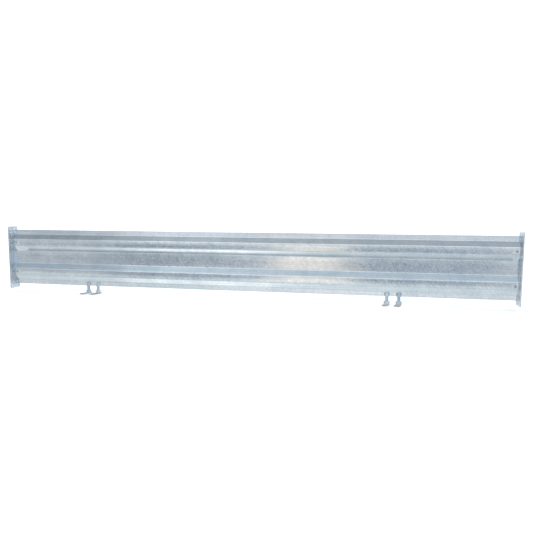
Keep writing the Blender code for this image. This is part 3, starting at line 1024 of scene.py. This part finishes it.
@dataclass
class ScrewFoot:
    """A threaded spindle in a welded sleeve, on a narrow base plate.

    One foot is modelled on the Z axis and copied.
    """

    finish: bpy.types.Material
    pad_finish: bpy.types.Material
    weld_finish: bpy.types.Material
    radius: float = 15 * MM
    pitch: float = 3.5 * MM
    chamfer: float = 2 * MM
    sleeve_flats: float = 41 * MM
    bore_radius: float = 15.4 * MM
    collar_flats: float = 46 * MM
    collar_height: float = 24 * MM
    spigot_radius: float = 9 * MM
    flare_radius: float = 13 * MM
    flare_height: float = 3 * MM
    flare_recess: float = 1 * MM
    pad_width: float = 50 * MM
    pad_front: float = 106 * MM
    pad_rear: float = 27 * MM
    pad_turn_deg: float = -12.0
    pad_thickness: float = 8 * MM
    swivel_clearance: float = 0.4 * MM
    corner_radius: float = 6 * MM
    edge_break: float = 0.9 * MM
    lead_in: float = 2 * MM
    lead_in_width: float = 2.2 * MM
    sunk: float = 2 * MM
    spigot_sunk: float = 0.5 * MM
    spigot_in_collar: float = 1 * MM
    rows_per_turn: int = 9
    bead_radius: float = 3.4 * MM
    bead_inset: float = 3 * MM
    bead_gap: float = 0.6 * MM
    bead_sunk: float = 1 * MM

    def sleeve(self, low: float, high: float) -> bpy.types.Object:
        """The long hexagon nut that is welded on the lip.

        Args:
            low: Height of its lower end.
            high: Height of its upper end.

        Returns:
            The sleeve.
        """
        piece = hexagon("sleeve", self.sleeve_flats, low, high)
        widest = self.bore_radius + self.lead_in_width
        combine(piece, cone("lead_in", widest, self.bore_radius, low - PROUD, low + self.lead_in), Join.CUT)
        combine(piece, cone("lead_in", self.bore_radius, widest, high - self.lead_in, high + PROUD), Join.CUT)
        bore = cylinder("bore", self.bore_radius, low - CUT_MARGIN, high + CUT_MARGIN, vertices=64)
        return combine(piece, bore, Join.CUT)

    def spindle(self, top: float) -> bpy.types.Object:
        """The screw with its hexagon collar and its peened lower end.

        Args:
            top: Height of its upper end.

        Returns:
            The spindle.
        """
        collar_low = self.pad_thickness + GAP
        collar_high = collar_low + self.collar_height
        thread_low = collar_high - self.sunk
        rows = round((top - thread_low) / self.pitch * self.rows_per_turn)
        screw = ribbed_rod(
            "screw", self.radius, thread_low, top, rows, 56,
            thread_reach(self.radius, self.pitch, top, self.chamfer))
        combine(screw, hexagon("collar", self.collar_flats, collar_low, collar_high), Join.ADD)
        shoulder = self.flare_recess + self.flare_height
        spigot = cylinder(
            "spigot", self.spigot_radius, shoulder - self.spigot_sunk, collar_low + self.spigot_in_collar)
        combine(screw, spigot, Join.ADD)
        flare = cone("flare", self.flare_radius, self.spigot_radius - OVERLAP, self.flare_recess, shoulder)
        return combine(screw, flare, Join.ADD)

    def pad(self) -> bpy.types.Object:
        """The base plate, with its spindle hole on the Z axis, swivelled as it stands.

        Returns:
            The pad.
        """
        half = self.pad_width / 2
        piece = block(
            "pad", Vector((-half, -self.pad_front, 0)), Vector((half, self.pad_rear, self.pad_thickness)))
        make_active(piece)
        bpy.ops.object.mode_set(mode="EDIT")
        select_in_edit(piece, Pick.EDGES, lambda middle, run: abs(run.z) > ALIGNED)
        bpy.ops.mesh.bevel(offset=self.corner_radius, segments=6, profile=0.5, affect="EDGES")
        bpy.ops.object.mode_set(mode="OBJECT")
        hole = self.spigot_radius + self.swivel_clearance
        wide = self.flare_radius + self.swivel_clearance
        shoulder = self.flare_recess + self.flare_height + self.swivel_clearance
        combine(piece, cylinder("hole", hole, -CUT_MARGIN, self.pad_thickness + CUT_MARGIN, 64), Join.CUT)
        combine(piece, cone("sink", wide, hole, self.flare_recess, shoulder), Join.CUT)
        combine(piece, cylinder("mouth", wide, -CUT_MARGIN, self.flare_recess + OVERLAP), Join.CUT)
        soften_edges(piece, self.edge_break)
        piece.data.transform(Matrix.Rotation(math.radians(self.pad_turn_deg), 4, "Z"))
        return piece

    def build(self, feet: list[str]) -> None:
        """Model one foot and place it at each name.

        Args:
            feet: The places of the feet, as the CAD nodes spell them.
        """
        first = feet[0]
        sleeve_low, sleeve_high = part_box(f"foot_sleeve_{first}")
        axis_y = (sleeve_low.y + sleeve_high.y) / 2
        masters = {
            "sleeve": self.sleeve(sleeve_low.z, sleeve_high.z),
            "spindle": self.spindle(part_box(f"foot_spindle_{first}")[1].z),
            "pad": self.pad(),
        }
        bodies = {"sleeve": "panel", "spindle": "spindle_{}", "pad": "pad_{}"}
        for place in feet:
            low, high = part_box(f"foot_sleeve_{place}")
            centre = Matrix.Translation(((low.x + high.x) / 2, axis_y, 0))
            for kind, master in masters.items():
                piece = placed_copy(master, f"screw_foot_{kind}_{place}", centre)
                stand_for(
                    piece, f"foot_{kind}_{place}", bodies[kind].format(place),
                    self.pad_finish if kind == "pad" else self.finish)
                piece.visible_glossy = False
            self.welds(place, centre, low.z, high)
        for master in masters.values():
            bpy.data.objects.remove(master, do_unlink=True)

    def welds(self, place: str, centre: Matrix, low_z: float, high: Vector) -> None:
        """Lay the two upright beads that hold a sleeve on the lip.

        Args:
            place: The foot's place.
            centre: The spindle's axis.
            low_z: The sleeve's lower end.
            high: The sleeve's highest corner.
        """
        half_flat = self.sleeve_flats / math.sqrt(3) / 2
        length = high.z - low_z - 2 * self.bead_inset
        for word, side in (("left", -1), ("right", 1)):
            bead = weld_bead(f"weld_{place}_{word}", self.bead_radius, length)
            shift = (
                side * (half_flat + self.bead_gap), self.sleeve_flats / 2 - self.bead_sunk,
                low_z + self.bead_inset)
            bead.data.transform(centre @ Matrix.Translation(shift))
            place_in_mesh(bead)
            dress(bead, "panel", self.weld_finish)


# ---------------------------------------------------------------- stage


@dataclass(frozen=True)
class Glow:
    """The studio's light along one measure of direction, as stops of that measure and a linear colour."""

    low: float
    high: float
    stops: tuple[tuple[float, tuple[float, float, float]], ...]

    def build(self, tree: bpy.types.NodeTree, measure: bpy.types.NodeSocket) -> bpy.types.NodeSocket:
        """Build the ramp that gives the light.

        Args:
            tree: The world's node tree.
            measure: The measure of direction, between low and high.

        Returns:
            The socket of the light's colour, which may be past white.
        """
        place = add_node(
            tree, "ShaderNodeMapRange", {"Value": measure, "From Min": self.low, "From Max": self.high})
        ramp = add_node(tree, "ShaderNodeValToRGB", {"Fac": place.outputs[0]})
        peak = max(max(colour) for _, colour in self.stops)
        elements = ramp.color_ramp.elements
        while len(elements) < len(self.stops):
            elements.new(0.5)
        for element, (at, colour) in zip(elements, self.stops):
            element.position = (at - self.low) / (self.high - self.low)
            element.color = (*(channel / peak for channel in colour), 1.0)
        lifted = add_node(
            tree, "ShaderNodeVectorMath", {0: ramp.outputs["Color"], "Scale": peak}, operation="SCALE")
        return lifted.outputs[0]


# By the angle up from level in front, over the ceiling and down behind, in degrees.
ROOM_GLOW = Glow(-180, 180, (
    (-180, (1.10, 1.22, 1.34)), (-171.5, (1.10, 1.22, 1.34)), (-169, (0.82, 0.86, 0.90)),
    (-120, (0.84, 0.88, 0.90)), (-94, (1.00, 1.04, 1.03)), (-88, (1.08, 1.16, 1.20)),
    (-80, (0.96, 1.00, 1.01)), (-60, (0.86, 0.90, 0.92)), (-16, (0.88, 0.92, 0.95)),
    (-12, (1.16, 1.20, 1.22)), (-9.2, (1.16, 1.20, 1.22)), (-8, (0.56, 0.62, 0.68)),
    (-6.5, (0.39, 0.43, 0.48)), (-5, (0.36, 0.40, 0.46)), (-3.9, (0.27, 0.31, 0.37)),
    (-2.6, (1.05, 1.07, 1.10)), (-0.5, (0.98, 1.02, 1.07)), (5, (0.80, 0.84, 0.89)),
    (20, (0.86, 0.90, 0.94)), (28, (1.10, 1.14, 1.18)), (56, (1.20, 1.26, 1.32)),
    (66, (0.90, 0.98, 1.05)), (72, (0.66, 0.78, 0.87)), (78, (0.54, 0.57, 0.60)),
    (90, (0.53, 0.56, 0.58)), (102, (0.52, 0.55, 0.58)), (114, (0.92, 0.96, 1.00)),
    (170, (0.86, 0.90, 0.94)), (180, (1.10, 1.22, 1.34))))
# The rest go by the share of the direction that runs along the panel.
# At eye level: a warm doorway, with duller walls on both sides of it.
DOORWAY_GLOW = Glow(-1, 1, (
    (-0.60, (1.30, 1.26, 1.20)), (-0.53, (1.40, 1.34, 1.26)), (-0.46, (0.92, 0.96, 0.99)),
    (-0.40, (0.62, 0.66, 0.70)), (-0.36, (0.66, 0.71, 0.75)), (-0.28, (0.90, 0.97, 1.00)),
    (-0.20, (1.22, 1.22, 1.20)), (-0.155, (3.15, 2.56, 2.00)), (-0.055, (3.15, 2.56, 2.00)),
    (-0.038, (0.62, 0.72, 0.78)), (0.0, (0.66, 0.78, 0.84)), (0.09, (0.80, 0.91, 0.98)),
    (0.20, (0.84, 0.94, 1.00)), (0.25, (1.75, 1.55, 1.36)), (0.36, (1.40, 1.50, 1.60)),
    (0.50, (2.40, 2.70, 3.00))))
# The floor at the panel's foot: a light pool left of the middle.
POOL_GLOW = Glow(-1, 1, (
    (-0.60, (0.95, 0.95, 0.95)), (-0.47, (0.98, 0.98, 0.98)), (-0.41, (1.75, 1.68, 1.62)),
    (-0.20, (1.75, 1.68, 1.62)), (-0.12, (0.98, 0.98, 0.98)), (-0.02, (0.80, 0.84, 0.86)),
    (0.25, (0.76, 0.80, 0.82)), (0.60, (0.9, 0.9, 0.9))))
# The rest of the floor.
FLOOR_GLOW = Glow(-1, 1, (
    (-0.60, (0.86, 0.86, 0.86)), (-0.46, (0.88, 0.88, 0.88)), (-0.36, (0.96, 0.96, 0.96)),
    (-0.22, (1.06, 1.06, 1.06)), (0.10, (1.02, 1.02, 1.02)), (0.25, (0.96, 0.96, 0.96)),
    (0.60, (1.0, 1.0, 1.0))))
# The soft boxes above: strongest left of the middle.
SOFT_BOX_GLOW = Glow(-1, 1, (
    (-0.60, (0.76, 0.78, 0.80)), (-0.53, (0.70, 0.72, 0.74)), (-0.47, (0.82, 0.83, 0.84)),
    (-0.41, (1.20, 1.19, 1.18)), (-0.32, (1.20, 1.19, 1.18)), (-0.22, (1.04, 1.04, 1.04)),
    (-0.10, (1.08, 1.07, 1.05)), (0.0, (1.0, 1.0, 1.0)), (0.25, (0.97, 0.98, 0.99)), (0.60, (1.1, 1.1, 1.1))))
# How much of the floor's light is the pool's, by the angle again.
POOL_SHARE = Glow(-180, 180, (
    (-90.5, (0.0, 0.0, 0.0)), (-87.5, (1.0, 1.0, 1.0)), (-83, (1.0, 1.0, 1.0)), (-79, (0.0, 0.0, 0.0))))


@dataclass
class Stage:
    """A pale floor, a plain soft studio all round, and the camera."""

    floor_radius: float = 60.0
    dome_radius: float = 80.0
    floor_colour: str = "F6F7F8"
    lamp_strength: float = 2.2
    lamp_spread_deg: float = 110.0
    floor_edge_deg: tuple[float, float] = (-9.2, -8.4)
    level_edge_deg: tuple[float, float] = (-3.2, -2.2)
    camera_place: tuple[float, float, float] = (1.214, -4.839, 0.8535)
    camera_heading_deg: float = 11.4
    camera_tilt_deg: float = -6.06
    camera_roll_deg: float = 0.25
    lens_mm: float = 35.0
    sensor_mm: float = 36.0

    def build(self) -> None:
        """Make the floor, the backdrop, the world, the lamp and the camera."""
        self.floor()
        self.backdrop()
        self.studio()
        self.lamp()
        self.camera()
        bpy.context.scene.view_settings.view_transform = "Standard"

    def floor(self) -> None:
        """A wide, plain, matt white floor, which the zinc's mirror leaves to the studio's own glow."""
        deselect_all()
        bpy.ops.mesh.primitive_circle_add(
            vertices=96, radius=self.floor_radius, fill_type="NGON", location=(0, 0, -0.5 * MM))
        floor = bpy.context.object
        floor.name = "studio_floor"
        material = bpy.data.materials.new("matt_white_floor")
        material.use_nodes = True
        shader = material.node_tree.nodes["Principled BSDF"]
        shader.inputs["Base Color"].default_value = linear(self.floor_colour)
        shader.inputs["Roughness"].default_value = 0.9
        shader.inputs["Specular IOR Level"].default_value = 0.1
        floor.data.materials.append(material)
        place_in_mesh(floor)
        floor.visible_glossy = False

    def backdrop(self) -> None:
        """A plain white dome all round, which hides the studio and neither lights nor shades anything."""
        deselect_all()
        bpy.ops.mesh.primitive_uv_sphere_add(segments=64, ring_count=32, radius=self.dome_radius)
        dome = bpy.context.object
        dome.name = "white_backdrop"
        material = bpy.data.materials.new("plain_white_backdrop")
        material.use_nodes = True
        tree = material.node_tree
        tree.nodes.clear()
        glow = add_node(tree, "ShaderNodeEmission", {"Color": (1.0, 1.0, 1.0, 1.0), "Strength": 1.0})
        add_node(tree, "ShaderNodeOutputMaterial", {"Surface": glow.outputs[0]})
        dome.data.materials.append(material)
        place_in_mesh(dome)
        for ray in ("diffuse", "glossy", "transmission", "volume_scatter", "shadow"):
            setattr(dome, f"visible_{ray}", False)

    def studio(self) -> None:
        """The room: dim in front at eye level, a bright band above it, a dark ceiling, and white behind."""
        world = bpy.data.worlds.new("soft_studio")
        bpy.context.scene.world = world
        world.use_nodes = True
        tree = world.node_tree
        tree.nodes.clear()
        direction = add_node(tree, "ShaderNodeTexCoord").outputs["Generated"]
        way = add_node(tree, "ShaderNodeSeparateXYZ", {"Vector": direction})
        front = add_node(tree, "ShaderNodeMath", {0: way.outputs["Y"], 1: -1.0}, operation="MULTIPLY")
        angle = add_node(
            tree, "ShaderNodeMath", {0: way.outputs["Z"], 1: front.outputs[0]}, operation="ARCTAN2")
        degrees = add_node(tree, "ShaderNodeMath", {0: angle.outputs[0]}, operation="DEGREES")
        along = way.outputs["X"]
        (floor_low, floor_high), (level_low, level_high) = self.floor_edge_deg, self.level_edge_deg
        above_floor = add_node(
            tree, "ShaderNodeMapRange",
            {"Value": degrees.outputs[0], "From Min": floor_low, "From Max": floor_high})
        above_level = add_node(
            tree, "ShaderNodeMapRange",
            {"Value": degrees.outputs[0], "From Min": level_low, "From Max": level_high})
        floor = add_node(
            tree, "ShaderNodeMix",
            {0: POOL_SHARE.build(tree, degrees.outputs[0]), 6: FLOOR_GLOW.build(tree, along),
             7: POOL_GLOW.build(tree, along)},
            data_type="RGBA")
        low = add_node(
            tree, "ShaderNodeMix",
            {0: above_floor.outputs[0], 6: floor.outputs[2], 7: DOORWAY_GLOW.build(tree, along)},
            data_type="RGBA")
        tint = add_node(
            tree, "ShaderNodeMix",
            {0: above_level.outputs[0], 6: low.outputs[2], 7: SOFT_BOX_GLOW.build(tree, along)},
            data_type="RGBA")
        room = add_node(
            tree, "ShaderNodeVectorMath", {0: ROOM_GLOW.build(tree, degrees.outputs[0]), 1: tint.outputs[2]},
            operation="MULTIPLY")
        glow = add_node(tree, "ShaderNodeBackground", {"Color": room.outputs[0]})
        add_node(tree, "ShaderNodeOutputWorld", {"Surface": glow.outputs[0]})

    def lamp(self) -> None:
        """Wide, even light from above, which whitens the floor but isn't mirrored in the zinc."""
        light = bpy.data.lights.new("overhead_soft_light", "SUN")
        light.angle = math.radians(self.lamp_spread_deg)
        light.energy = self.lamp_strength
        lamp = bpy.data.objects.new("overhead_soft_light", light)
        lamp.visible_glossy = False
        bpy.context.scene.collection.objects.link(lamp)

    def camera(self) -> None:
        """A camera at standing height to the right of the middle, turned slightly left and down."""
        data = bpy.data.cameras.new("camera")
        data.lens = self.lens_mm
        data.sensor_width = self.sensor_mm
        camera = bpy.data.objects.new("camera", data)
        camera.matrix_world = (
            Matrix.Translation(self.camera_place)
            @ Matrix.Rotation(math.radians(self.camera_heading_deg), 4, "Z")
            @ Matrix.Rotation(math.radians(90 + self.camera_tilt_deg), 4, "X")
            @ Matrix.Rotation(math.radians(self.camera_roll_deg), 4, "Z"))
        bpy.context.scene.collection.objects.link(camera)
        bpy.context.scene.camera = camera


# ---------------------------------------------------------------- assembly


def middle_of(node: str) -> Vector:
    """The middle of a CAD node's box."""
    low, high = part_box(node)
    return (low + high) / 2


def main() -> None:
    """Build the stage and every piece, in order, and note the sizes."""
    logging.basicConfig(level=logging.INFO, format="%(name)s %(message)s")
    Stage().build()
    # Fresh zinc on smooth rolled sheet mirrors the room in soft-edged bands, under faint spangles.
    sheet_zinc = GalvanisedFinish("hot_dip_galvanised_sheet").material()
    # Flat bar is rougher under its zinc, so what it mirrors is a blur.
    bar_zinc = GalvanisedFinish("hot_dip_galvanised_flat_bar", roughness=0.28, streak_strength=0.3).material()
    # Small turned parts are spun free of zinc while hot, which leaves them even and satin.
    foot_zinc = GalvanisedFinish(
        "hot_dip_galvanised_screw_foot", bright="C9D4DC", dull="B5C3CE", stain="9AA7B2", roughness=0.28,
        spangle_mm=5.0).material()
    # The pads get a darker, warm grey zinc, duller in patches.
    pad_zinc = GalvanisedFinish(
        "soiled_galvanised_foot_pad", bright="C8C6C4", dull="A09C9A", stain="8A8682", roughness=0.38,
        spangle_mm=6.0, cloud_mm=40.0).material()
    # Spun fasteners come out darker and duller than sheet.
    bolt_zinc = GalvanisedFinish(
        "spun_galvanised_bolt", bright="A9B2BA", dull="929CA5", stain="7F868C", roughness=0.36,
        spangle_mm=3.0).material()
    # Zinc over a weld is thick and matt.
    weld_zinc = GalvanisedFinish(
        "galvanised_weld_bead", bright="BCC6CE", dull="A5B0B8", roughness=0.4, spangle_mm=3.0).material()
    bolts = [f"{end.word}_{row.value}" for end in End for row in Row]
    sleeve = "foot_sleeve_"
    feet = [node.removeprefix(sleeve) for node in sorted(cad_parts) if node.startswith(sleeve)]
    form = Profile()
    crest_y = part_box("face_sheet")[0].y + form.thickness / 2
    bolt_middles = [middle_of(f"bolt_{word}") for word in bolts]
    bolt_places = [Vector((middle.x, crest_y, middle.z)) for middle in bolt_middles]
    FaceSheet(sheet_zinc, form).build(bolt_places)
    for end in End:
        EndPlate(end, bar_zinc).build()
        for row in Row:
            Cleat(end, row, bar_zinc, weld_zinc).build()
    CupBolt(bolt_zinc).build(bolts)
    ScrewFoot(foot_zinc, pad_zinc, weld_zinc).build(feet)


if __name__ == "__main__":
    main()
